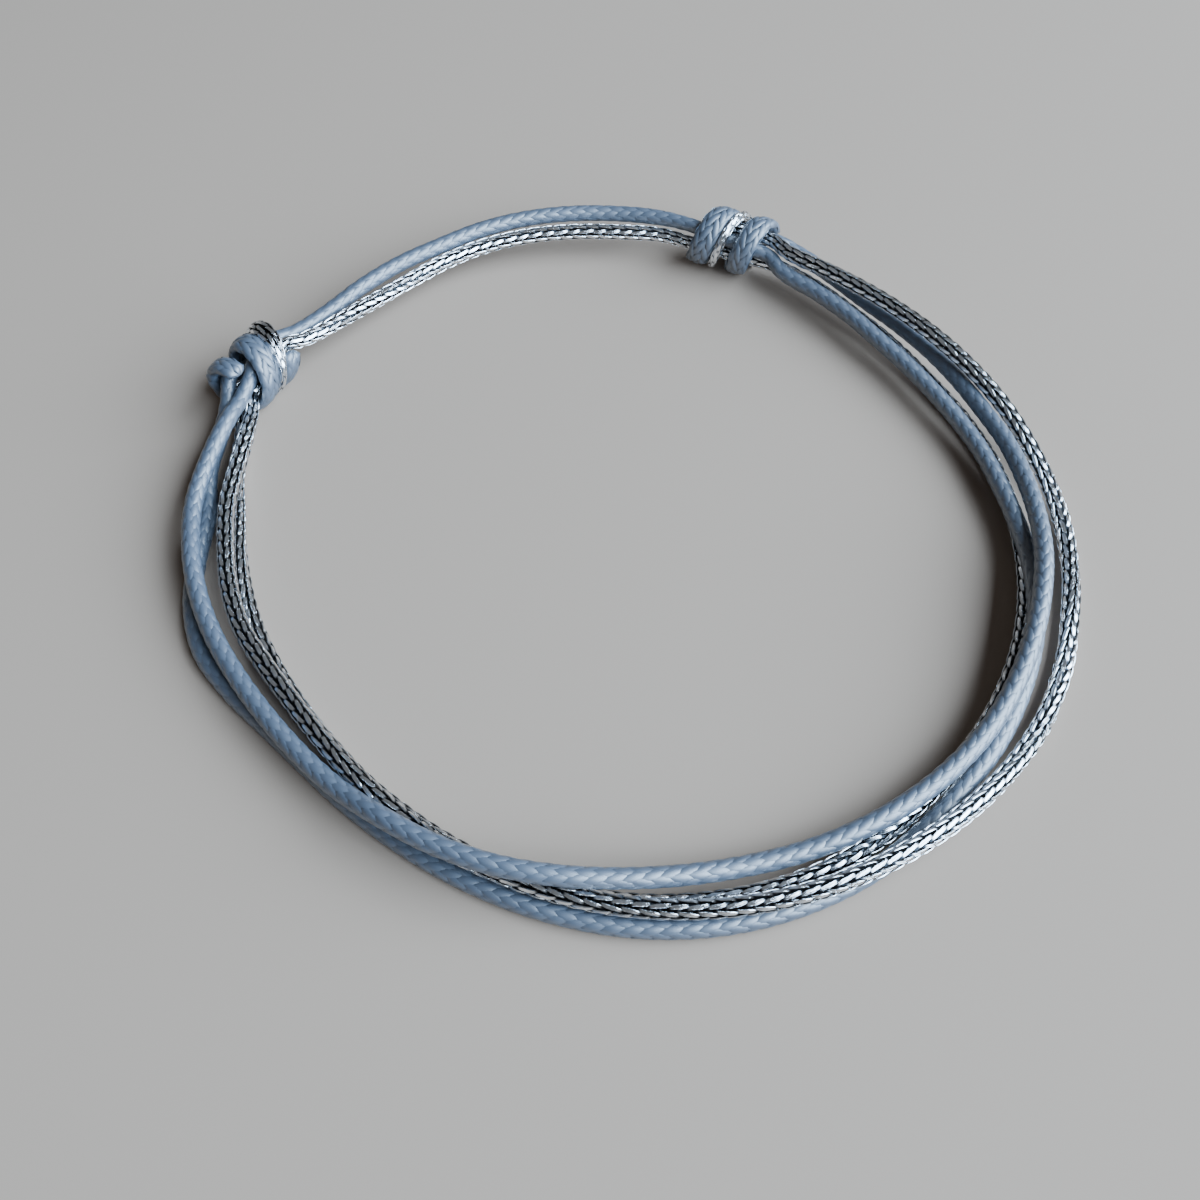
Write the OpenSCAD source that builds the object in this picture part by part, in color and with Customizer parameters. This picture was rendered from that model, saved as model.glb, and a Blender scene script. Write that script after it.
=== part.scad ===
// String anklet: a waxed cord and a silver cord, used as a pair and tied into a ring
// with two sliding knots. It lies on a flat surface, as it does when it is taken off.

/* [Cords] */
// Diameter of the waxed cord and of the silver cord
cord_d = 1.45; // [1.3:0.05:1.45]
// Diameter that a cord is squeezed to inside a knot
squeezed_d = 1.28; // [1.16:0.02:1.28]
// Distance between cross-sections along a free cord, as an angle of the ring
ring_step = 7.5; // [5:0.5:10]

/* [Ring] */
// Radius that the strands' distances are counted from
ring_r = 33; // [32.5:0.5:36]

/* [Knots] */
// Radius of the finished knots
knot_r = 2.85; // [2.85:0.05:3.2]
// Distance from a knot's axis to the cords that run through it
core_r = 1.15; // [1.15:0.01:1.18]
// Thickness of a turn, where it is pressed flat
turn_t = 0.95; // [0.8:0.05:1]

/* [Hidden] */

// Middle of the ring, which puts the middle of the whole outline over the origin
ring_centre = [0.22, 0.38, -0.035];
// Sides of a cord's cross-section
cord_sides = 8;
// Angle between cross-sections of a turn
turn_step = 15;
waxed_colour = [0.62, 0.68, 0.75];
silver_colour = [0.78, 0.78, 0.76];

// Strands of the long side, seen from above, counter-clockwise from the left knot.
// Angle round the ring, then for each strand how far it lies outside ring_r and how
// high its middle is: the lower waxed, upper waxed, upper silver and lower silver one.
ANGLE = 0;
LOWER_WAXED = 1;
UPPER_WAXED = 3;
UPPER_SILVER = 5;
LOWER_SILVER = 7;
long_side = [
    // angle  lower waxed   upper waxed   upper silver  lower silver
    [160,     1.7, 2.2,     0.85, 3.5,    0.2, 2.25,    0.9, 1.0],
    [170,     1.95, 1.5,    1.1, 3.05,    -0.8, 2.15,   0.0, 0.75],
    [180,     0.9, 0.8,     1.6, 2.4,     -1.0, 2.2,    -1.4, 0.75],
    [190,     1.4, 0.75,    1.3, 2.3,     -1.3, 2.15,   -2.0, 0.75],
    [200,     1.9, 0.75,    0.7, 2.2,     -1.4, 2.1,    -2.4, 0.75],
    [210,     0.8, 0.75,    0.0, 2.2,     -2.1, 2.2,    -2.7, 0.75],
    [220,     -0.4, 0.75,   -0.4, 2.3,    -2.4, 2.3,    -2.8, 0.75],
    [230,     -0.5, 0.75,   -0.4, 2.4,    -2.0, 2.25,   -2.4, 0.75],
    [240,     -0.2, 0.75,   -0.2, 3.4,    -1.3, 2.2,    -1.9, 0.75],
    [250,     0.4, 0.75,    0.0, 3.7,     -0.5, 2.2,    -1.2, 0.75],
    [260,     1.1, 0.75,    -0.2, 3.7,    0.2, 2.15,    -0.5, 0.75],
    [270,     1.7, 0.75,    -0.8, 2.9,    0.9, 2.15,    0.1, 0.75],
    [280,     2.0, 0.75,    -1.2, 2.1,    1.4, 2.2,     0.3, 0.75],
    [290,     1.9, 0.75,    -1.1, 1.9,    1.8, 2.3,     0.3, 0.75],
    [300,     1.5, 0.8,     -0.8, 2.2,    2.0, 2.3,     -0.1, 0.75],
    [310,     0.8, 1.1,     -0.6, 2.5,    2.1, 2.0,     -0.7, 0.75],
    [320,     0.4, 1.6,     -0.5, 2.9,    2.2, 1.3,     -0.9, 0.75],
    [330,     -0.2, 2.0,    -0.7, 3.5,    2.2, 0.9,     -1.1, 0.75],
    [340,     -0.9, 2.3,    -1.0, 3.9,    1.9, 0.8,     -1.4, 0.75],
    [350,     -1.9, 2.3,    -1.2, 3.8,    1.7, 0.8,     -1.8, 0.75],
    [360,     -3.0, 2.2,    -1.4, 3.1,    1.4, 1.0,     -2.2, 0.75],
    [370,     -3.6, 2.1,    -1.5, 2.6,    0.6, 1.9,     -2.5, 0.75],
    [380,     -4.2, 2.1,    -1.7, 2.2,    -0.4, 3.0,    -2.9, 0.8],
    [390,     -4.6, 2.3,    -1.6, 2.1,    -1.5, 3.9,    -3.2, 1.0],
    [400,     -4.6, 2.5,    -1.5, 2.1,    -1.8, 3.9,    -3.1, 1.3],
    [410,     -4.0, 2.7,    -1.1, 2.2,    -2.0, 4.0,    -2.7, 1.6],
    [420,     -3.2, 2.8,    0.1, 2.6,     -1.8, 4.0,    -1.7, 1.8],
    [430,     -1.8, 2.9,    1.3, 2.8,     -0.8, 4.0,    -0.8, 1.8],
];

// Strands of the short side between the knots, in the same way
SHORT_WAXED = 1;
SHORT_SILVER = 3;
short_side = [
    // angle  waxed         silver
    [70,      -0.9, 3.8,    -1.4, 2.3],
    [80,      -0.3, 3.8,    -0.7, 2.3],
    [90,      0.9, 3.4,     -0.6, 2.5],
    [100,     1.4, 3.4,     -0.2, 2.6],
    [110,     1.5, 3.4,     0.1, 2.6],
    [120,     1.0, 3.4,     -0.3, 2.6],
    [130,     0.8, 3.4,     -0.9, 2.6],
    [140,     0.6, 3.2,     -1.0, 3.0],
    [150,     0.8, 2.9,     -1.0, 4.0],
];

// Turns of each cord round each knot: the angle that the cord has turned through from
// the knot's top to the inside of the ring, how far along the knot's axis it lies, how
// far it sinks below the other turns, and its width.
ALONG = 1;
SINK = 2;
WIDTH = 3;
left_waxed_turns = [
    // turn  along  sink  width
    [0,      3.9,   0,    1.7],
    [90,     1.75,  0,    1.8],
    [180,    1.0,   0,    1.8],
    [270,    0.6,   0,    2.0],
    [360,    0.0,   0,    2.1],
    [450,    -1.25, 0,    2.1],
    [540,    -2.1,  0,    1.9],
    [630,    -2.6,  0,    1.8],
    [720,    -2.9,  0,    1.9],
    [810,    -3.2,  0,    1.9],
];
left_silver_turns = [
    [-90,    2.7,   0,    1.3],
    [0,      2.0,   0,    1.7],
    [90,     0.3,   0,    0.7],
    [180,    -0.5,  0,    0.9],
    [270,    -1.05, 0,    0.9],
    [360,    -1.6,  0,    0.8],
];
back_waxed_turns = [
    [-450,   3.3,   0.1,  1.8],
    [-360,   2.6,   0,    2.1],
    [-270,   1.7,   0,    2.0],
    [-180,   0.8,   0,    2.0],
    [-90,    -0.2,  0,    2.1],
    [0,      -1.1,  0,    2.2],
    [90,     -2.0,  0,    2.2],
    [180,    -2.9,  0,    2.0],
];
back_silver_turns = [
    [-180,   2.3,   0,    0.9],
    [-90,    1.35,  0,    0.9],
    [0,      0.45,  0,    0.8],
    [90,     -0.5,  0,    0.8],
    [180,    -1.4,  0,    0.9],
];

// Run of each strand through the left knot: how far along the knot's axis, the turn
// angle, and the distance from the axis
left_lower_waxed = [
    [2.0, 236, 1.15], [0.6, 241, 1.15], [-0.8, 260, 1.15], [-2.2, 285, 1.15], [-3.9, 207, 0.7],
];
left_upper_waxed = [
    [4.6, 56, 0.9], [3.8, 30, 0.7], [3.0, 0, 0.8], [2.4, -20, 0.95], [1.8, -20, 1.05],
    [1.2, -14, 1.15], [0.6, -10, 1.15], [-0.8, 24, 1.15], [-2.2, 56, 1.15], [-3.9, 79, 1.3],
];
left_upper_silver = [
    [4.6, 75, 2.35], [3.8, 70, 2.05], [3.0, 57, 1.6], [2.4, 54, 1.3], [1.8, 57, 1.2],
    [1.2, 66, 1.15], [0.6, 74, 1.15], [-0.8, 102, 1.15], [-2.2, 131, 1.15],
    [-3.0, 119, 1.65], [-3.9, 116, 2.3],
];
left_lower_silver = [
    [2.0, 152, 1.15], [0.6, 158, 1.15], [-0.8, 181, 1.15], [-2.2, 203, 1.15], [-3.9, 159, 2.1],
];

// Each knot: its middle from the ring's middle, and the direction of its axis from +X.
// Places in a knot are given along the axis, and by the angle from the top to the
// inside of the ring.
function knot_at(angle, out, axis) = [(ring_r + out) * [cos(angle), sin(angle)], axis];
LEFT = knot_at(155.7, 1.8, 62);
BACK = knot_at(72.7, -0.65, -22);

function unit(v) = v / norm(v);
function knot_point(knot, s, turn, r) =
    let (along = [cos(knot[1]), sin(knot[1]), 0],
         inward = [sin(knot[1]), -cos(knot[1]), 0])
    [knot[0].x, knot[0].y, knot_r] + s * along + r * (cos(turn) * [0, 0, 1] + sin(turn) * inward);

// Value of a column at any angle, on a smooth curve through the rows of the table
function smooth(a, b, c, d, t) =
    b + t / 2 * (c - a + t * (2 * a - 5 * b + 4 * c - d + t * (3 * (b - c) + d - a)));
function column(table, angle, col) =
    let (row_step = table[1][ANGLE] - table[0][ANGLE],
         place = (angle - table[0][ANGLE]) / row_step,
         i = min(max(floor(place), 0), len(table) - 2),
         last = len(table) - 1)
    smooth(table[max(i - 1, 0)][col], table[i][col], table[i + 1][col],
           table[min(i + 2, last)][col], place - i);
function strand_point(table, angle, col) =
    let (r = ring_r + column(table, angle, col))
    [r * cos(angle), r * sin(angle), column(table, angle, col + 1)];
function strand(table, col, from, to) =
    let (n = ceil((to - from) / ring_step))
    [for (i = [0:n]) strand_point(table, from + (to - from) * i / n, col)];
function run(knot, from, to, turn_from, turn_to) =
    [for (i = [0:4]) knot_point(knot, from + (to - from) * i / 4,
                                turn_from + (turn_to - turn_from) * i / 4, core_r)];
function points_in(knot, table) = [for (row = table) knot_point(knot, row[0], row[1], row[2])];

// Where the long side and the short side begin and end, as angles of the ring
long_from = 166;
long_to = 422;
short_from = 84;
short_to = 142;
// Ends of the runs through the back knot, along its axis
back_out = 4.1;
back_in = -3.3;
back_end = -2.6;

waxed_route = concat(
    points_in(LEFT, left_lower_waxed),
    strand(long_side, LOWER_WAXED, long_from, long_to),
    run(BACK, back_out, back_in, 75, 30),
    strand(short_side, SHORT_WAXED, short_from, short_to),
    points_in(LEFT, left_upper_waxed),
    strand(long_side, UPPER_WAXED, long_from, long_to),
    run(BACK, back_out, back_end, 285, 232)
);
silver_route = concat(
    points_in(LEFT, left_lower_silver),
    strand(long_side, LOWER_SILVER, long_from, long_to),
    run(BACK, back_out, back_in, 150, 125),
    strand(short_side, SHORT_SILVER, short_from, short_to),
    points_in(LEFT, left_upper_silver),
    strand(long_side, UPPER_SILVER, long_from, long_to),
    run(BACK, back_out, back_end, 0, -50)
);

// A cord is squeezed up to this far from a knot's middle, and full from twice as far
squeezed_reach = 4.2;
function full_share(p, knot) =
    min(max(norm([p.x, p.y] - knot[0]) / squeezed_reach - 1, 0), 1);
function cord_r(p) =
    (squeezed_d + (cord_d - squeezed_d) * min(full_share(p, LEFT), full_share(p, BACK))) / 2;

// Direction of a route at point i, and an oval cross-section there
function direction(route, i) = unit(route[min(i + 1, len(route) - 1)] - route[max(i - 1, 0)]);
function section(centre, side, up, half_w, half_t, sides) =
    [for (k = [0:sides - 1]) let (a = 360 * (k + 0.5) / sides)
        centre + half_w * cos(a) * side + half_t * sin(a) * up];

// Closed tube through a list of cross-sections
module tube(sections) {
    sides = len(sections[0]);
    last = len(sections) - 1;
    points = [for (ring = sections) for (p = ring) p];
    walls = [for (i = [0:last - 1]) for (k = [0:sides - 1])
        let (a = i * sides + k, b = i * sides + (k + 1) % sides)
        each [[a, b, a + sides], [b, b + sides, a + sides]]];
    caps = [for (k = [1:sides - 2])
        each [[0, k + 1, k], [last * sides, last * sides + k, last * sides + k + 1]]];
    polyhedron(points, concat(walls, caps));
}

module cord(route) {
    tube([for (i = [0:len(route) - 1])
        let (along = direction(route, i),
             side = unit(cross(along, [0, 0, 1])),
             up = cross(side, along),
             r = cord_r(route[i]))
        section(route[i], side, up, r, r, cord_sides)]);
}

// A cord wound round a knot, as its table says, from one turn angle to another
module turns(knot, table, from, to) {
    n = ceil((to - from) / turn_step);
    angles = [for (i = [0:n]) from + (to - from) * i / n];
    route = [for (turn = angles)
        knot_point(knot, column(table, turn, ALONG), turn,
                   knot_r - turn_t / 2 - column(table, turn, SINK))];
    tube([for (i = [0:n])
        let (out = unit(knot_point(knot, 0, angles[i], 1) - knot_point(knot, 0, angles[i], 0)),
             side = unit(cross(direction(route, i), out)))
        section(route[i], side, out, column(table, angles[i], WIDTH) / 2, turn_t / 2,
                cord_sides)]);
}

module waxed_cord() {
    color(waxed_colour) translate(ring_centre) cord(waxed_route);
}

module silver_cord() {
    color(silver_colour) translate(ring_centre) cord(silver_route);
}

module left_knot_waxed_turns() {
    color(waxed_colour) translate(ring_centre)
        turns(LEFT, left_waxed_turns, 66, 745);
}

module left_knot_silver_turns() {
    color(silver_colour) translate(ring_centre)
        turns(LEFT, left_silver_turns, -90, 290);
}

module back_knot_waxed_turns() {
    color(waxed_colour) translate(ring_centre)
        turns(BACK, back_waxed_turns, -450, 140);
}

module back_knot_silver_turns() {
    color(silver_colour) translate(ring_centre)
        turns(BACK, back_silver_turns, -180, 180);
}

waxed_cord();
silver_cord();
left_knot_waxed_turns();
left_knot_silver_turns();
back_knot_waxed_turns();
back_knot_silver_turns();
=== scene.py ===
"""String anklet: a waxed cord and a silver cord, braided, a pair tied with two sliding knots."""

import math
from typing import NamedTuple

import bpy
import numpy as np
from bpy.props import FloatProperty, FloatVectorProperty, IntProperty, PointerProperty
from bpy.types import Operator, Panel, PropertyGroup
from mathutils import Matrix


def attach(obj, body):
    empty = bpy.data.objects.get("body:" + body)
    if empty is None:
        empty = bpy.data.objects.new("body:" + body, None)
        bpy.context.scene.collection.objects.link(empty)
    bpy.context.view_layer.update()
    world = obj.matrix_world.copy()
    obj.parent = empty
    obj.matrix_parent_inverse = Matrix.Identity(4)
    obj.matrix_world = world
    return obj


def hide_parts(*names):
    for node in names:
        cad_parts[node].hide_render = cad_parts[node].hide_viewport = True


bl_info = {
    "name": "String Anklet",
    "version": (1, 0, 0),
    "blender": (4, 5, 0),
    "location": "View3D > Sidebar > Anklet",
    "description": "Braids the two cords of a string anklet and winds its two sliding knots",
    "category": "Add Mesh",
}

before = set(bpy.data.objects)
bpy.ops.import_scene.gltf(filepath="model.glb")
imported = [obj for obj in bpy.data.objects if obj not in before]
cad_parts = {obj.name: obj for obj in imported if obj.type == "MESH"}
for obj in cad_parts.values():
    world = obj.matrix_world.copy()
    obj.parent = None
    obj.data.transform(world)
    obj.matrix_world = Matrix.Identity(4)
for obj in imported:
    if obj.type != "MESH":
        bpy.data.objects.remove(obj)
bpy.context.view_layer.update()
MM = 0.001

# The cords' routes, as in the part's source, in millimetres and degrees

RING_CENTRE = np.array([0.22, 0.38, -0.035])  # the ring's middle in the shared frame
RING_R = 33.0  # radius from which the strands' places count
RING_STEP = 7.5  # angle from one point of a strand to the next, at most
KNOT_R = 2.85  # outer radius of a knot, and its middle's height
CORE_R = 1.15  # how far from the back knot's axis a strand runs through it
CORE_STEPS = 4  # from one side of the knot to the other
TURN_T = 0.95  # thickness of a cord that is wound round a knot
SQUEEZED_D = 1.28  # diameter of a cord inside a knot
SQUEEZED_REACH = 4.2  # up to here from a knot's middle, and no more at twice as far

# Strands of the long side, counter-clockwise from the left knot: angle round the ring,
# then for each strand how far it lies outside RING_R and how high its middle is
LOWER_WAXED, UPPER_WAXED, UPPER_SILVER, LOWER_SILVER = 1, 3, 5, 7
LONG_SIDE = [
    # angle  lower waxed   upper waxed   upper silver  lower silver
    (160, 1.7, 2.2, 0.85, 3.5, 0.2, 2.25, 0.9, 1.0),
    (170, 1.95, 1.5, 1.1, 3.05, -0.8, 2.15, 0.0, 0.75),
    (180, 0.9, 0.8, 1.6, 2.4, -1.0, 2.2, -1.4, 0.75),
    (190, 1.4, 0.75, 1.3, 2.3, -1.3, 2.15, -2.0, 0.75),
    (200, 1.9, 0.75, 0.7, 2.2, -1.4, 2.1, -2.4, 0.75),
    (210, 0.8, 0.75, 0.0, 2.2, -2.1, 2.2, -2.7, 0.75),
    (220, -0.4, 0.75, -0.4, 2.3, -2.4, 2.3, -2.8, 0.75),
    (230, -0.5, 0.75, -0.4, 2.4, -2.0, 2.25, -2.4, 0.75),
    (240, -0.2, 0.75, -0.2, 3.4, -1.3, 2.2, -1.9, 0.75),
    (250, 0.4, 0.75, 0.0, 3.7, -0.5, 2.2, -1.2, 0.75),
    (260, 1.1, 0.75, -0.2, 3.7, 0.2, 2.15, -0.5, 0.75),
    (270, 1.7, 0.75, -0.8, 2.9, 0.9, 2.15, 0.1, 0.75),
    (280, 2.0, 0.75, -1.2, 2.1, 1.4, 2.2, 0.3, 0.75),
    (290, 1.9, 0.75, -1.1, 1.9, 1.8, 2.3, 0.3, 0.75),
    (300, 1.5, 0.8, -0.8, 2.2, 2.0, 2.3, -0.1, 0.75),
    (310, 0.8, 1.1, -0.6, 2.5, 2.1, 2.0, -0.7, 0.75),
    (320, 0.4, 1.6, -0.5, 2.9, 2.2, 1.3, -0.9, 0.75),
    (330, -0.2, 2.0, -0.7, 3.5, 2.2, 0.9, -1.1, 0.75),
    (340, -0.9, 2.3, -1.0, 3.9, 1.9, 0.8, -1.4, 0.75),
    (350, -1.9, 2.3, -1.2, 3.8, 1.7, 0.8, -1.8, 0.75),
    (360, -3.0, 2.2, -1.4, 3.1, 1.4, 1.0, -2.2, 0.75),
    (370, -3.6, 2.1, -1.5, 2.6, 0.6, 1.9, -2.5, 0.75),
    (380, -4.2, 2.1, -1.7, 2.2, -0.4, 3.0, -2.9, 0.8),
    (390, -4.6, 2.3, -1.6, 2.1, -1.5, 3.9, -3.2, 1.0),
    (400, -4.6, 2.5, -1.5, 2.1, -1.8, 3.9, -3.1, 1.3),
    (410, -4.0, 2.7, -1.1, 2.2, -2.0, 4.0, -2.7, 1.6),
    (420, -3.2, 2.8, 0.1, 2.6, -1.8, 4.0, -1.7, 1.8),
    (430, -1.8, 2.9, 1.3, 2.8, -0.8, 4.0, -0.8, 1.8),
]
# Strands of the short side between the knots, in the same way
SHORT_WAXED, SHORT_SILVER = 1, 3
SHORT_SIDE = [
    # angle  waxed      silver
    (70, -0.9, 3.8, -1.4, 2.3),
    (80, -0.3, 3.8, -0.7, 2.3),
    (90, 0.9, 3.4, -0.6, 2.5),
    (100, 1.4, 3.4, -0.2, 2.6),
    (110, 1.5, 3.4, 0.1, 2.6),
    (120, 1.0, 3.4, -0.3, 2.6),
    (130, 0.8, 3.4, -0.9, 2.6),
    (140, 0.6, 3.2, -1.0, 3.0),
    (150, 0.8, 2.9, -1.0, 4.0),
]
LONG_FROM, LONG_TO = 166, 422
SHORT_FROM, SHORT_TO = 84, 142

# Turns of each cord round each knot: angle turned through from the knot's top to the inside
# of the ring, place along the knot's axis, depth below the other turns, width
ALONG, SINK, WIDTH = 1, 2, 3
LEFT_WAXED_TURNS = [
    (0, 3.9, 0, 1.7),
    (90, 1.75, 0, 1.8),
    (180, 1.0, 0, 1.8),
    (270, 0.6, 0, 2.0),
    (360, 0.0, 0, 2.1),
    (450, -1.25, 0, 2.1),
    (540, -2.1, 0, 1.9),
    (630, -2.6, 0, 1.8),
    (720, -2.9, 0, 1.9),
    (810, -3.2, 0, 1.9),
]
LEFT_SILVER_TURNS = [
    (-90, 2.7, 0, 1.3),
    (0, 2.0, 0, 1.7),
    (90, 0.3, 0, 0.7),
    (180, -0.5, 0, 0.9),
    (270, -1.05, 0, 0.9),
    (360, -1.6, 0, 0.8),
]
BACK_WAXED_TURNS = [
    (-450, 3.3, 0.1, 1.8),
    (-360, 2.6, 0, 2.1),
    (-270, 1.7, 0, 2.0),
    (-180, 0.8, 0, 2.0),
    (-90, -0.2, 0, 2.1),
    (0, -1.1, 0, 2.2),
    (90, -2.0, 0, 2.2),
    (180, -2.9, 0, 2.0),
]
BACK_SILVER_TURNS = [
    (-180, 2.3, 0, 0.9),
    (-90, 1.35, 0, 0.9),
    (0, 0.45, 0, 0.8),
    (90, -0.5, 0, 0.8),
    (180, -1.4, 0, 0.9),
]

# First and last angle of the turns
LEFT_WAXED_SPAN = (66, 745)
LEFT_SILVER_SPAN = (-90, 290)
BACK_WAXED_SPAN = (-450, 140)
BACK_SILVER_SPAN = (-180, 180)

# Run of each strand through the left knot: place along the axis, turn angle, distance
LEFT_LOWER_WAXED = [
    (2.0, 236, 1.15), (0.6, 241, 1.15), (-0.8, 260, 1.15), (-2.2, 285, 1.15), (-3.9, 207, 0.7),
]
LEFT_UPPER_WAXED = [
    (4.6, 56, 0.9), (3.8, 30, 0.7), (3.0, 0, 0.8), (2.4, -20, 0.95), (1.8, -20, 1.05),
    (1.2, -14, 1.15), (0.6, -10, 1.15), (-0.8, 24, 1.15), (-2.2, 56, 1.15), (-3.9, 79, 1.3),
]
LEFT_UPPER_SILVER = [
    (4.6, 75, 2.35), (3.8, 70, 2.05), (3.0, 57, 1.6), (2.4, 54, 1.3), (1.8, 57, 1.2),
    (1.2, 66, 1.15), (0.6, 74, 1.15), (-0.8, 102, 1.15), (-2.2, 131, 1.15), (-3.0, 119, 1.65),
    (-3.9, 116, 2.3),
]
LEFT_LOWER_SILVER = [
    (2.0, 152, 1.15), (0.6, 158, 1.15), (-0.8, 181, 1.15), (-2.2, 203, 1.15), (-3.9, 159, 2.1),
]

# Places along the back knot's axis: where strands come in from the long side, where they go
# on to the short side, and where the cords' ends stop
BACK_ENTRY, BACK_EXIT, BACK_STOP = 4.1, -3.3, -2.6
# First and last turn angle of each strand that runs through the back knot
BACK_LOWER_WAXED = (75, 30)
BACK_UPPER_WAXED = (285, 232)
BACK_LOWER_SILVER = (150, 125)
BACK_UPPER_SILVER = (0, -50)


def knot_at(angle, out, axis):
    """A knot's middle, from its angle and its distance outside RING_R, and its axis's angle."""
    a = math.radians(angle)
    return np.array([math.cos(a), math.sin(a)]) * (RING_R + out), math.radians(axis)


LEFT = knot_at(angle=155.7, out=1.8, axis=62)
BACK = knot_at(angle=72.7, out=-0.65, axis=-22)


def knot_point(knot, along, turn, distance):
    """A place in a knot: along its axis, and by the angle from its top to the ring's inside."""
    middle, axis = knot
    t = math.radians(turn)
    inward = distance * math.sin(t)
    return np.array(
        [
            middle[0] + along * math.cos(axis) + inward * math.sin(axis),
            middle[1] + along * math.sin(axis) - inward * math.cos(axis),
            KNOT_R + distance * math.cos(t),
        ]
    )


def column(table, angle, col):
    """A column's value at any angle, on a smooth curve through the rows of the table."""
    last = len(table) - 1
    place = (angle - table[0][0]) / (table[1][0] - table[0][0])
    i = min(max(math.floor(place), 0), last - 1)
    t = place - i
    a, b, c, d = (table[min(max(k, 0), last)][col] for k in range(i - 1, i + 3))
    return b + t / 2 * (c - a + t * (2 * a - 5 * b + 4 * c - d + t * (3 * (b - c) + d - a)))


def strand(table, col, start, stop):
    """Points of one strand from one angle of the ring to another."""
    steps = math.ceil((stop - start) / RING_STEP)
    points = []
    for i in range(steps + 1):
        angle = start + (stop - start) * i / steps
        r = RING_R + column(table, angle, col)
        a = math.radians(angle)
        height = column(table, angle, col + 1)
        points.append(np.array([r * math.cos(a), r * math.sin(a), height]))
    return points


def run(knot, start, stop, turns):
    """Points of a strand that runs straight through a knot's core."""
    first, last = turns
    points = []
    for i in range(CORE_STEPS + 1):
        along = start + (stop - start) * i / CORE_STEPS
        points.append(knot_point(knot, along, first + (last - first) * i / CORE_STEPS, CORE_R))
    return points


def points_in(knot, table):
    """Points of a strand that a table leads through a knot."""
    return [knot_point(knot, *row) for row in table]


def waxed_route():
    """The waxed cord, from its end in the left knot to its end in the back knot."""
    return (
        points_in(LEFT, LEFT_LOWER_WAXED)
        + strand(LONG_SIDE, LOWER_WAXED, LONG_FROM, LONG_TO)
        + run(BACK, BACK_ENTRY, BACK_EXIT, BACK_LOWER_WAXED)
        + strand(SHORT_SIDE, SHORT_WAXED, SHORT_FROM, SHORT_TO)
        + points_in(LEFT, LEFT_UPPER_WAXED)
        + strand(LONG_SIDE, UPPER_WAXED, LONG_FROM, LONG_TO)
        + run(BACK, BACK_ENTRY, BACK_STOP, BACK_UPPER_WAXED)
    )


def silver_route():
    """The silver cord, beside the waxed one from end to end."""
    return (
        points_in(LEFT, LEFT_LOWER_SILVER)
        + strand(LONG_SIDE, LOWER_SILVER, LONG_FROM, LONG_TO)
        + run(BACK, BACK_ENTRY, BACK_EXIT, BACK_LOWER_SILVER)
        + strand(SHORT_SIDE, SHORT_SILVER, SHORT_FROM, SHORT_TO)
        + points_in(LEFT, LEFT_UPPER_SILVER)
        + strand(LONG_SIDE, UPPER_SILVER, LONG_FROM, LONG_TO)
        + run(BACK, BACK_ENTRY, BACK_STOP, BACK_UPPER_SILVER)
    )


# Braiding, in millimetres and radians

CURVE_STEPS = 24  # points of a smooth curve from one given point to the next
TURN_SAMPLES = 200  # points by which the length of a knot's turns is measured
END_LENGTH = 0.5  # length over which a cord draws in at its ends
END_SHARE = 0.25  # share of its size that is left at its very end
YARNS = 8  # yarns that go each way round a cord
WAVES = YARNS / 2  # times that a yarn rises and falls in going once round
NARROWING = 0.2  # share of its width that a yarn loses halfway down, and again below
WANDER, WANDER_LENGTH = 0.5, 9.0  # how far the braid turns to and fro, and over what length
YARN_SHIFT, WAY_SHIFT = 7.3, 3.1  # keep the fibres of two yarns from being alike
UV_SCALE = 0.1  # the yarns' UVs are in centimetres
# Section of a yarn, in half widths and half thicknesses, counter-clockwise: a flat top with
# low shoulders, and a ridge underneath
YARN_SECTION = np.array([(-1.0, -0.25), (0.0, -1.0), (1.0, -0.25), (0.6, 0.9), (-0.6, 0.9)])
YARN_SIDES = len(YARN_SECTION)
# Corners of the section whose edges may stay sharp, so that the yarn shines evenly
SHOULDERS = (0, 2)
TOP_EDGES = (3, 4)
CORE_SIDES = 16
CORE_EVERY = 3  # one ring of the core for so many of a yarn


class Weave(NamedTuple):
    """How a cord is braided."""

    pitch: float  # length in which a yarn goes once round the cord
    rings: int  # rings of a yarn in one pitch
    width: float  # of a yarn where it lies on top
    thickness: float  # of a yarn
    rise: float  # of a yarn above its mean depth
    core: float  # depth of the core below the cord's surface
    straighten: float  # how much straighter a yarn runs on top, as a share
    flat: float  # power that keeps a yarn up or down for longer, where it is below 1
    twist: float  # length in which the whole braid turns once
    sharp: tuple  # corners of the section whose edges stay sharp


class Line(NamedTuple):
    """A cord's middle line, the directions across it, and the cord's size along it."""

    places: np.ndarray  # distances from the start
    centre: np.ndarray
    side: np.ndarray
    up: np.ndarray
    half_w: np.ndarray
    half_t: np.ndarray
    taper: np.ndarray  # share of the full size, smaller towards the ends


def unit(v):
    """Vectors of length one."""
    return v / np.linalg.norm(v, axis=-1, keepdims=True)


def distances(points):
    """How far along a line each of its points lies."""
    return np.concatenate([[0], np.cumsum(np.linalg.norm(np.diff(points, axis=0), axis=1))])


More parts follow.
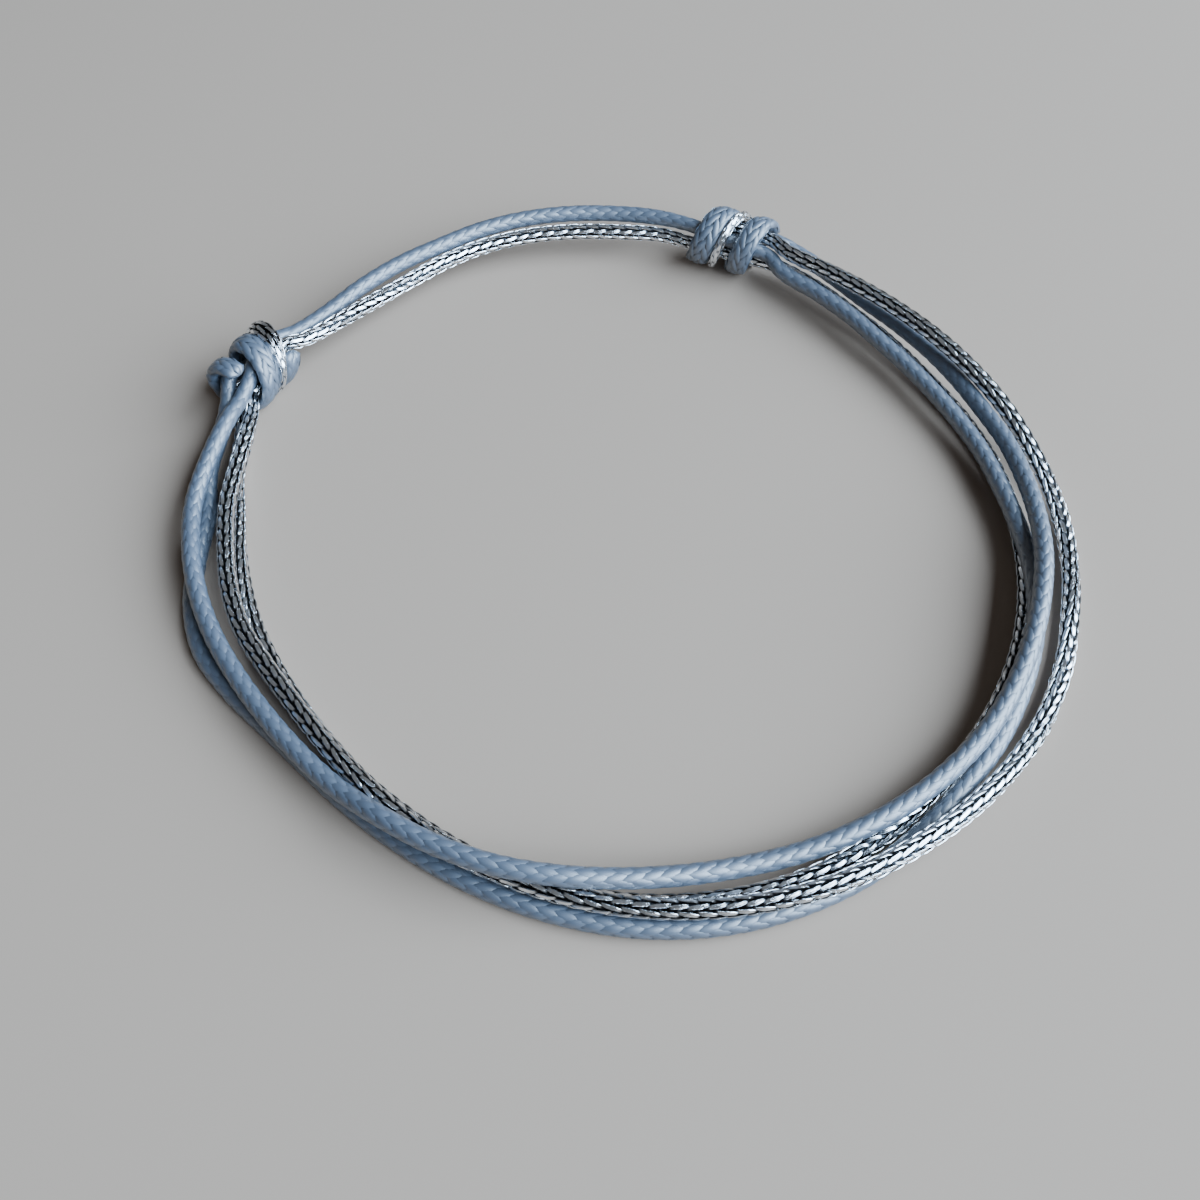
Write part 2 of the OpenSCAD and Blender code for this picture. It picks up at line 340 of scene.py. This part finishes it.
def smooth_path(points, spacing):
    """Distances along a smooth curve through the points, evenly spaced, and the places there."""
    p = np.array(points)
    p = np.vstack([2 * p[0] - p[1], p, 2 * p[-1] - p[-2]])
    t = np.linspace(0, 1, CURVE_STEPS, endpoint=False)[:, None]
    dense = []
    for a, b, c, d in zip(p, p[1:], p[2:], p[3:]):
        before, here, after = (np.linalg.norm(v) for v in (b - a, c - b, d - c))
        leave = unit((b - a) / before + (c - b) / here) * here
        arrive = unit((c - b) / here + (d - c) / after) * here
        dense.append(
            b * (2 * t**3 - 3 * t**2 + 1)
            + leave * (t**3 - 2 * t**2 + t)
            + c * (3 * t**2 - 2 * t**3)
            + arrive * (t**3 - t**2)
        )
    dense = np.vstack(dense + [p[-2][None]])
    way = distances(dense)
    places = np.linspace(0, way[-1], int(round(way[-1] / spacing)) + 1)
    return places, np.stack([np.interp(places, way, dense[:, k]) for k in range(3)], 1)


def line_along(places, centre, upwards, half_w, half_t):
    """A cord's line along a path, drawn in at both ends."""
    along = unit(np.gradient(centre, axis=0))
    side = unit(np.cross(along, upwards))
    taper = np.clip(np.minimum(places, places[-1] - places) / END_LENGTH, 0, 1)
    taper = np.sqrt(1 - (1 - taper) ** 2) * (1 - END_SHARE) + END_SHARE
    up = np.cross(side, along)
    return Line(places, centre, side, up, half_w * taper, half_t * taper, taper)


def yarn_tube(line, weave, way, number):
    """One yarn: its rings of points, its crown values and its UVs."""
    start = number + (0.5 if way < 0 else 0)  # the other way's yarns start in between
    plain = 2 * np.pi * (way * line.places / weave.pitch + start / YARNS)
    wave = WAVES * plain - np.pi / 2
    lift = way * np.cos(wave)
    turn = plain - way * weave.straighten * np.sin(wave) / WAVES
    drift = 2 * np.pi * line.places / weave.twist + WANDER * np.sin(line.places / WANDER_LENGTH)
    c, s = np.cos(turn + drift), np.sin(turn + drift)
    lift = np.sign(lift) * np.abs(lift) ** weave.flat

    depth = weave.thickness / 2 + weave.rise * (1 - lift)
    across = (line.half_w - depth * line.taper) * c
    above = (line.half_t - depth * line.taper) * s
    middle = line.centre + across[:, None] * line.side + above[:, None] * line.up
    out = unit(np.stack([c / line.half_w, s / line.half_t], 1))
    normal = out[:, :1] * line.side + out[:, 1:] * line.up
    wide = unit(np.cross(normal, unit(np.gradient(middle, axis=0))))

    section_x, section_y = YARN_SECTION.T
    half = weave.width / 2 * (1 - NARROWING + NARROWING * lift) * line.taper
    thick = weave.thickness / 2 * line.taper
    points = (
        middle[:, None]
        + (half[:, None] * section_x)[:, :, None] * wide[:, None]
        + (thick[:, None] * section_y)[:, :, None] * normal[:, None]
    )
    # 1 along the top of a yarn where it lies over the others, 0 where it dives under them; the
    # materials darken the low values as painted shade in the grooves
    crown = (0.5 + 0.5 * lift)[:, None] * (0.5 + 0.5 * np.clip(section_y, 0, 1))
    lengthwise = (line.places + YARN_SHIFT * number + WAY_SHIFT * way)[:, None]
    uv = np.stack(np.broadcast_arrays(lengthwise, section_x * half[:, None]), -1)
    return points, crown, uv


def core_tube(line, weave):
    """The core under the yarns: its rings of points, its crown values and its UVs."""
    last = len(line.places) - 1
    pick = np.arange(0, last + 1, CORE_EVERY)
    if pick[-1] != last:
        pick = np.append(pick, last)
    a = 2 * np.pi * np.arange(CORE_SIDES) / CORE_SIDES
    across = (line.half_w - weave.core * line.taper)[pick, None] * np.cos(a)
    above = (line.half_t - weave.core * line.taper)[pick, None] * np.sin(a)
    points = (
        line.centre[pick, None]
        + across[:, :, None] * line.side[pick, None]
        + above[:, :, None] * line.up[pick, None]
    )
    uv = np.stack(np.broadcast_arrays(line.places[pick, None], a), -1)
    return points, np.zeros(points.shape[:2]), uv


def tube_faces(start, rings, sides, clockwise=False):
    """Faces of a closed tube, pointing outwards, for rings of points that go either way round."""
    i, j = np.meshgrid(np.arange(rings - 1), np.arange(sides), indexing="ij")
    here = start + i * sides + j
    beside = start + i * sides + (j + 1) % sides
    corners = [here, beside, beside + sides, here + sides]
    first = (start + np.arange(sides))[::-1]
    last = start + (rings - 1) * sides + np.arange(sides)
    if clockwise:
        corners = [here, here + sides, beside + sides, beside]
        first, last = first[::-1], last[::-1]
    return np.stack(corners, -1).reshape(-1, 4).tolist() + [first.tolist(), last.tolist()]


def edges_at(mesh, yarn_points, corners):
    """Which edges run along a yarn at the given corners of its section."""
    ends = np.empty(2 * len(mesh.edges), np.int32)
    mesh.edges.foreach_get("vertices", ends)
    ends = ends.reshape(-1, 2)
    lengthwise = (ends.max(axis=1) < yarn_points) & (abs(ends[:, 0] - ends[:, 1]) == YARN_SIDES)
    return lengthwise & np.isin(ends[:, 0] % YARN_SIDES, corners)


def braid(name, line, weave):
    """A piece: a cord braided two over two from eight yarns each way, over a core."""
    yarns = [yarn_tube(line, weave, way, number) for way in (1, -1) for number in range(YARNS)]
    core = core_tube(line, weave)
    rings = len(line.places)
    yarn_points = len(yarns) * rings * YARN_SIDES
    faces = []
    for start in range(0, yarn_points, rings * YARN_SIDES):
        faces += tube_faces(start, rings, YARN_SIDES)
    faces += tube_faces(yarn_points, len(core[0]), CORE_SIDES, clockwise=True)
    points, crowns, uvs = zip(*yarns, core)
    points = np.vstack([part.reshape(-1, 3) for part in points])
    crown = np.concatenate([part.ravel() for part in crowns]).astype(np.float32)
    uv = np.vstack([part.reshape(-1, 2) for part in uvs])

    mesh = bpy.data.meshes.new(name)
    mesh.from_pydata(((points + RING_CENTRE) * MM).tolist(), [], faces)
    mesh.shade_smooth()
    sharp = mesh.attributes.new("sharp_edge", "BOOLEAN", "EDGE")
    sharp.data.foreach_set("value", edges_at(mesh, yarn_points, weave.sharp))
    mesh.attributes.new("crown", "FLOAT", "POINT").data.foreach_set("value", crown)
    loops = np.empty(len(mesh.loops), np.int32)
    mesh.loops.foreach_get("vertex_index", loops)
    uv = (uv[loops] * UV_SCALE).astype(np.float32)
    mesh.uv_layers.new(name="yarn").data.foreach_set("uv", uv.ravel())
    piece = bpy.data.objects.new(name, mesh)
    bpy.context.scene.collection.objects.link(piece)
    return piece


def squeezed_radius(centre, full_d):
    """A cord's radius at each place, which is smaller inside a knot."""
    share = np.ones(len(centre))
    for middle, _ in (LEFT, BACK):
        away = np.linalg.norm(centre[:, :2] - middle, axis=1) / SQUEEZED_REACH - 1
        share = np.minimum(share, np.clip(away, 0, 1))
    return (SQUEEZED_D + (full_d - SQUEEZED_D) * share) / 2


def braided_cord(name, route, full_d, weave):
    """A cord of round section along its route, and the middle line that it follows."""
    places, centre = smooth_path(route, weave.pitch / weave.rings)
    radius = squeezed_radius(centre, full_d)
    line = line_along(places, centre, (0, 0, 1), radius, radius)
    return braid(name, line, weave), centre


def turn_point(knot, table, turn):
    """A place on the middle line of a knot's turns."""
    distance = KNOT_R - TURN_T / 2 - column(table, turn, SINK)
    return knot_point(knot, column(table, turn, ALONG), turn, distance)


def wound_turns(name, knot, table, span, weave):
    """A cord's turns round a knot, pressed flat, from the first angle of a span to the last."""
    turns = np.linspace(*span, TURN_SAMPLES)
    way = distances(np.array([turn_point(knot, table, a) for a in turns]))
    places = np.linspace(0, way[-1], int(way[-1] / weave.pitch * weave.rings) + 1)
    turns = np.interp(places, way, turns)
    centre = np.array([turn_point(knot, table, a) for a in turns])
    out = np.array([knot_point(knot, 0, a, 1) - knot_point(knot, 0, a, 0) for a in turns])
    half_w = np.array([column(table, a, WIDTH) / 2 for a in turns])
    return braid(name, line_along(places, centre, out, half_w, TURN_T / 2), weave)


# Materials

MIX_FACTOR, MIX_LOW, MIX_HIGH, MIX_RESULT = 0, 6, 7, 2  # a Mix node's sockets for colours


def set_inputs(node, values):
    """Sets a node's own values by their sockets' names."""
    for label, value in values.items():
        node.inputs[label].default_value = value


def yarn_group():
    """Shader group of a braided yarn: its fibres, its crown mask for the painted shade in the
    grooves, slow changes.
    """
    group = bpy.data.node_groups.new("braided_yarn", "ShaderNodeTree")
    for label in ("Fibre Scale", "Patch Scale", "Groove Start", "Groove End"):
        group.interface.new_socket(name=label, in_out="INPUT", socket_type="NodeSocketFloat")
    for label in ("Fibres", "Crown", "Patches"):
        group.interface.new_socket(name=label, in_out="OUTPUT", socket_type="NodeSocketFloat")
    nodes, links = group.nodes, group.links
    given = nodes.new("NodeGroupInput")
    result = nodes.new("NodeGroupOutput")

    crown = nodes.new("ShaderNodeAttribute")
    crown.attribute_name = "crown"
    # Crown mask: 0 in the grooves between yarns, where the materials paint shade
    groove = nodes.new("ShaderNodeMapRange")
    groove.interpolation_type = "SMOOTHSTEP"
    links.new(crown.outputs["Fac"], groove.inputs["Value"])
    links.new(given.outputs["Groove Start"], groove.inputs["From Min"])
    links.new(given.outputs["Groove End"], groove.inputs["From Max"])
    links.new(groove.outputs["Result"], result.inputs["Crown"])

    lay = nodes.new("ShaderNodeUVMap")
    lay.uv_map = "yarn"
    stretch = nodes.new("ShaderNodeMapping")
    set_inputs(stretch, {"Scale": (1.0, 6.0, 1.0)})
    links.new(lay.outputs["UV"], stretch.inputs["Vector"])
    fibre = nodes.new("ShaderNodeTexNoise")
    set_inputs(fibre, {"Detail": 2.0})
    links.new(stretch.outputs["Vector"], fibre.inputs["Vector"])
    links.new(given.outputs["Fibre Scale"], fibre.inputs["Scale"])
    spread = nodes.new("ShaderNodeMapRange")
    set_inputs(spread, {"From Min": 0.3, "From Max": 0.7})
    links.new(fibre.outputs["Fac"], spread.inputs["Value"])
    links.new(spread.outputs["Result"], result.inputs["Fibres"])

    place = nodes.new("ShaderNodeTexCoord")
    patch = nodes.new("ShaderNodeTexNoise")
    set_inputs(patch, {"Detail": 3.0})
    links.new(place.outputs["Object"], patch.inputs["Vector"])
    links.new(given.outputs["Patch Scale"], patch.inputs["Scale"])
    links.new(patch.outputs["Fac"], result.inputs["Patches"])
    return group


def mixed(tree, factor, low, high):
    """A colour mixed between two by a factor socket; a colour is a socket or three numbers."""
    mix = tree.nodes.new("ShaderNodeMix")
    mix.data_type = "RGBA"
    tree.links.new(factor, mix.inputs[MIX_FACTOR])
    for socket, colour in ((mix.inputs[MIX_LOW], low), (mix.inputs[MIX_HIGH], high)):
        if isinstance(colour, bpy.types.NodeSocket):
            tree.links.new(colour, socket)
        else:
            socket.default_value = (*colour, 1.0)
    return mix.outputs[MIX_RESULT]


def ranged(tree, value, low, high):
    """A value from 0 to 1 brought into another range."""
    node = tree.nodes.new("ShaderNodeMapRange")
    set_inputs(node, {"To Min": low, "To Max": high})
    tree.links.new(value, node.inputs["Value"])
    return node.outputs["Result"]


def bumped(tree, shader, height, distance, strength):
    """Relief on a shader from a height socket."""
    bump = tree.nodes.new("ShaderNodeBump")
    set_inputs(bump, {"Strength": strength, "Distance": distance})
    tree.links.new(height, bump.inputs["Height"])
    tree.links.new(bump.outputs["Normal"], shader.inputs["Normal"])


def new_material(name):
    """A new material, its nodes, its Principled shader and the yarn group in it."""
    material = bpy.data.materials.new(name)
    material.use_nodes = True
    tree = material.node_tree
    group = tree.nodes.new("ShaderNodeGroup")
    group.node_tree = bpy.data.node_groups.get("braided_yarn") or yarn_group()
    return material, tree, tree.nodes["Principled BSDF"], group


def waxed_material():
    """Waxed polyester braid: blue-grey yarns under a thin dull coat, with painted shade in the
    grooves.
    """
    found = bpy.data.materials.get("waxed_braid")
    if found:
        return found
    colours = bpy.context.scene.anklet_colours
    material, tree, shader, group = new_material("waxed_braid")
    grooves = {"Groove Start": 0.1, "Groove End": 0.62}
    set_inputs(group, {"Fibre Scale": 25.0, "Patch Scale": 260.0, **grooves})
    thick_wax = ranged(tree, group.outputs["Patches"], low=-0.4, high=1.4)
    yarn = mixed(tree, thick_wax, colours.waxed, colours.waxed_pale)
    # Painted shade: the grooves between the yarns take a darker colour by the crown mask
    colour = mixed(tree, group.outputs["Crown"], colours.waxed_groove_shade, yarn)
    tree.links.new(colour, shader.inputs["Base Color"])
    roughness = ranged(tree, group.outputs["Fibres"], low=0.46, high=0.58)
    tree.links.new(roughness, shader.inputs["Roughness"])
    set_inputs(shader, {"Specular IOR Level": 1.0})
    set_inputs(shader, {"Coat Weight": 1.0, "Coat IOR": 1.6, "Coat Roughness": 0.45})
    bumped(tree, shader, group.outputs["Fibres"], distance=0.00001, strength=0.4)
    return material


def silver_material():
    """Metallised yarn: bright where it rises, with painted shade nearly black between the yarns,
    and brighter fibres.
    """
    found = bpy.data.materials.get("silver_braid")
    if found:
        return found
    colours = bpy.context.scene.anklet_colours
    material, tree, shader, group = new_material("silver_braid")
    grooves = {"Groove Start": 0.3, "Groove End": 0.72}
    set_inputs(group, {"Fibre Scale": 22.0, "Patch Scale": 400.0, **grooves})
    yarn = mixed(tree, group.outputs["Fibres"], colours.silver, colours.silver_bright)
    # Painted shade: the grooves between the yarns turn nearly black by the crown mask
    colour = mixed(tree, group.outputs["Crown"], colours.silver_groove_shade, yarn)
    tree.links.new(colour, shader.inputs["Base Color"])
    set_inputs(shader, {"Metallic": 1.0})
    roughness = ranged(tree, group.outputs["Fibres"], low=0.1, high=0.27)
    tree.links.new(roughness, shader.inputs["Roughness"])
    bumped(tree, shader, group.outputs["Fibres"], distance=0.000015, strength=0.8)
    return material


def floor_material():
    """Plain pale floor."""
    material = bpy.data.materials.new("pale_floor")
    material.use_nodes = True
    shader = material.node_tree.nodes["Principled BSDF"]
    colour = (*bpy.context.scene.anklet_colours.floor, 1.0)
    set_inputs(shader, {"Base Color": colour, "Roughness": 0.85, "Specular IOR Level": 0.2})
    return material


# Sizes and colours


def colour_property(name, description, default):
    """A colour that a user may change."""
    return FloatVectorProperty(
        name=name, description=description, default=default, min=0, max=1, subtype="COLOR"
    )


def length_property(name, description, millimetres):
    """A length that a user may change."""
    return FloatProperty(
        name=name, description=description, default=millimetres * MM, unit="LENGTH", precision=5
    )


class AnkletSizes(PropertyGroup):
    """Sizes of the cords and of their braids."""

    waxed_diameter: length_property("Waxed cord", "Diameter of the waxed cord", 1.45)
    silver_diameter: length_property("Silver cord", "Diameter of the silver cord", 1.45)
    waxed_pitch: length_property(
        "Waxed pitch", "Length in which a waxed yarn goes once round the cord", 10.0
    )
    silver_pitch: length_property(
        "Silver pitch", "Length in which a silver yarn goes once round the cord", 9.8
    )
    waxed_yarn: length_property("Waxed yarn", "Width of a waxed yarn", 0.62)
    silver_yarn: length_property("Silver yarn", "Width of a silver yarn", 0.38)
    rings: IntProperty(
        name="Rings", description="Rings of a yarn in one pitch", default=28, min=12, max=40
    )


class AnkletColours(PropertyGroup):
    """Colours of the cords and of the floor."""

    waxed: colour_property("Waxed", "Waxed yarn", (0.046, 0.062, 0.09))
    waxed_pale: colour_property(
        "Waxed, pale", "Waxed yarn where the wax is thick", (0.062, 0.083, 0.118)
    )
    # Painted shade for the grooves between waxed yarns
    waxed_groove_shade: colour_property(
        "Waxed, grooves", "Between waxed yarns", (0.026, 0.036, 0.053)
    )
    silver: colour_property("Silver", "Metallised yarn", (0.82, 0.86, 0.91))
    silver_bright: colour_property(
        "Silver, bright", "Bright fibres of the metallised yarn", (0.97, 0.98, 1.0)
    )
    # Painted shade for the grooves between metallised yarns
    silver_groove_shade: colour_property(
        "Silver, grooves", "Between metallised yarns", (0.018, 0.021, 0.025)
    )
    floor: colour_property("Floor", "The floor", (0.285, 0.22, 0.173))


def waxed_weave():
    """The waxed cord's braid: broad yarns side by side, hardly a gap between them."""
    sizes = bpy.context.scene.anklet_sizes
    return Weave(
        pitch=sizes.waxed_pitch / MM,
        rings=sizes.rings,
        width=sizes.waxed_yarn / MM,
        thickness=0.16,
        rise=0.045,
        core=0.125,
        straighten=0.35,
        flat=0.75,
        twist=95.0,
        sharp=SHOULDERS,
    )


def silver_weave():
    """The silver cord's braid: narrow flat yarns that rise and fall more, with dark gaps."""
    sizes = bpy.context.scene.anklet_sizes
    return Weave(
        pitch=sizes.silver_pitch / MM,
        rings=sizes.rings,
        width=sizes.silver_yarn / MM,
        thickness=0.14,
        rise=0.08,
        core=0.2,
        straighten=0.85,
        flat=0.5,
        twist=-120.0,
        sharp=TOP_EDGES,
    )


def finish_piece(piece, node, material):
    """Dresses a piece and lets it stand for its CAD node."""
    piece.data.materials.append(material)
    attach(piece, "root")
    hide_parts(node)


# Stage, in metres apart from the camera's place

CAMERA_PLACE = np.array([-2.4, -65.9, 81.7])  # from the ring's middle, in millimetres
CAMERA_DOWN = 54.72  # how steeply it looks down, in degrees
CAMERA_LENS, CAMERA_SENSOR = 38.82, 36.0
CAMERA_CLIP = (0.005, 20.0)
FLOOR_SIZE = 3.0
KEY_PLACE = (0.555, -0.149, 0.417)
KEY_SIZE = (0.7, 1.0)
KEY_POWER = 42.0
KEY_COLOUR = (0.6, 0.79, 1.0)
WORLD_COLOUR = (0.95, 0.97, 1.0, 1.0)
WORLD_STRENGTH = 0.14

# Operators


class ANKLET_OT_stage(Operator):
    """Camera at the photograph's angle, a plain pale floor and soft studio light"""

    bl_idname = "anklet.stage"
    bl_label = "Stage"

    def execute(self, context):
        scene = context.scene
        camera = bpy.data.objects.new("camera", bpy.data.cameras.new("camera"))
        scene.collection.objects.link(camera)
        camera.data.sensor_width = CAMERA_SENSOR
        camera.data.sensor_fit = "HORIZONTAL"
        camera.data.lens = CAMERA_LENS
        camera.data.clip_start, camera.data.clip_end = CAMERA_CLIP
        camera.location = (CAMERA_PLACE + RING_CENTRE) * MM
        camera.rotation_euler = (math.radians(90 - CAMERA_DOWN), 0, 0)
        scene.camera = camera

        bpy.ops.object.select_all(action="DESELECT")
        bpy.ops.mesh.primitive_plane_add(size=FLOOR_SIZE, location=(0, 0, 0))
        floor = context.active_object
        floor.name = "floor"
        floor.data.materials.append(floor_material())

        key = bpy.data.objects.new("key", bpy.data.lights.new("key", "AREA"))
        scene.collection.objects.link(key)
        key.data.shape = "RECTANGLE"
        key.data.size, key.data.size_y = KEY_SIZE
        key.data.energy = KEY_POWER
        key.data.color = KEY_COLOUR
        x, y, z = KEY_PLACE
        key.location = KEY_PLACE
        key.rotation_euler = (0, math.atan2(math.hypot(x, y), z), math.atan2(y, x))
        world = bpy.data.worlds.new("studio")
        scene.world = world
        world.use_nodes = True
        background = world.node_tree.nodes["Background"]
        set_inputs(background, {"Color": WORLD_COLOUR, "Strength": WORLD_STRENGTH})
        return {"FINISHED"}


class ANKLET_OT_waxed_cord(Operator):
    """The waxed cord, braided along its whole length"""

    bl_idname = "anklet.waxed_cord"
    bl_label = "Waxed cord"

    def execute(self, context):
        diameter = context.scene.anklet_sizes.waxed_diameter
        piece, centre = braided_cord("waxed_braid", waxed_route(), diameter / MM, waxed_weave())
        finish_piece(piece, "waxed_cord", waxed_material())
        return {"FINISHED"}


class ANKLET_OT_silver_cord(Operator):
    """The silver cord, braided along its whole length"""

    bl_idname = "anklet.silver_cord"
    bl_label = "Silver cord"

    def execute(self, context):
        diameter = context.scene.anklet_sizes.silver_diameter
        piece, centre = braided_cord("silver_braid", silver_route(), diameter / MM, silver_weave())
        finish_piece(piece, "silver_cord", silver_material())
        return {"FINISHED"}


class ANKLET_OT_left_knot(Operator):
    """The turns of both cords round the left sliding knot"""

    bl_idname = "anklet.left_knot"
    bl_label = "Left knot"

    def execute(self, context):
        waxed = wound_turns(
            "left_knot_waxed", LEFT, LEFT_WAXED_TURNS, LEFT_WAXED_SPAN, waxed_weave()
        )
        finish_piece(waxed, "left_knot_waxed_turns", waxed_material())
        silver = wound_turns(
            "left_knot_silver", LEFT, LEFT_SILVER_TURNS, LEFT_SILVER_SPAN, silver_weave()
        )
        finish_piece(silver, "left_knot_silver_turns", silver_material())
        return {"FINISHED"}


class ANKLET_OT_back_knot(Operator):
    """The turns of both cords round the back sliding knot"""

    bl_idname = "anklet.back_knot"
    bl_label = "Back knot"

    def execute(self, context):
        waxed = wound_turns(
            "back_knot_waxed", BACK, BACK_WAXED_TURNS, BACK_WAXED_SPAN, waxed_weave()
        )
        finish_piece(waxed, "back_knot_waxed_turns", waxed_material())
        silver = wound_turns(
            "back_knot_silver", BACK, BACK_SILVER_TURNS, BACK_SILVER_SPAN, silver_weave()
        )
        finish_piece(silver, "back_knot_silver_turns", silver_material())
        return {"FINISHED"}


class ANKLET_PT_panel(Panel):
    """Lists the anklet's sizes, colours and pieces"""

    bl_idname = "ANKLET_PT_panel"
    bl_label = "String Anklet"
    bl_space_type = "VIEW_3D"
    bl_region_type = "UI"
    bl_category = "Anklet"

    def draw(self, context):
        layout = self.layout
        for group in (context.scene.anklet_sizes, context.scene.anklet_colours):
            box = layout.box()
            for name in group.__annotations__:
                box.prop(group, name)
        for operator in OPERATORS:
            layout.operator(operator.bl_idname)


OPERATORS = (
    ANKLET_OT_stage,
    ANKLET_OT_waxed_cord,
    ANKLET_OT_silver_cord,
    ANKLET_OT_left_knot,
    ANKLET_OT_back_knot,
)
CLASSES = (AnkletSizes, AnkletColours, *OPERATORS, ANKLET_PT_panel)


def register():
    """Adds the sizes, colours, operators and panel to Blender."""
    for cls in CLASSES:
        bpy.utils.register_class(cls)
    bpy.types.Scene.anklet_sizes = PointerProperty(type=AnkletSizes)
    bpy.types.Scene.anklet_colours = PointerProperty(type=AnkletColours)


def unregister():
    """Takes them out again."""
    del bpy.types.Scene.anklet_colours
    del bpy.types.Scene.anklet_sizes
    for cls in reversed(CLASSES):
        bpy.utils.unregister_class(cls)


def main():
    """Makes the stage and every piece."""
    register()
    bpy.ops.anklet.stage()
    bpy.ops.anklet.waxed_cord()
    bpy.ops.anklet.silver_cord()
    bpy.ops.anklet.left_knot()
    bpy.ops.anklet.back_knot()
    bpy.context.view_layer.update()


if __name__ == "__main__":
    main()
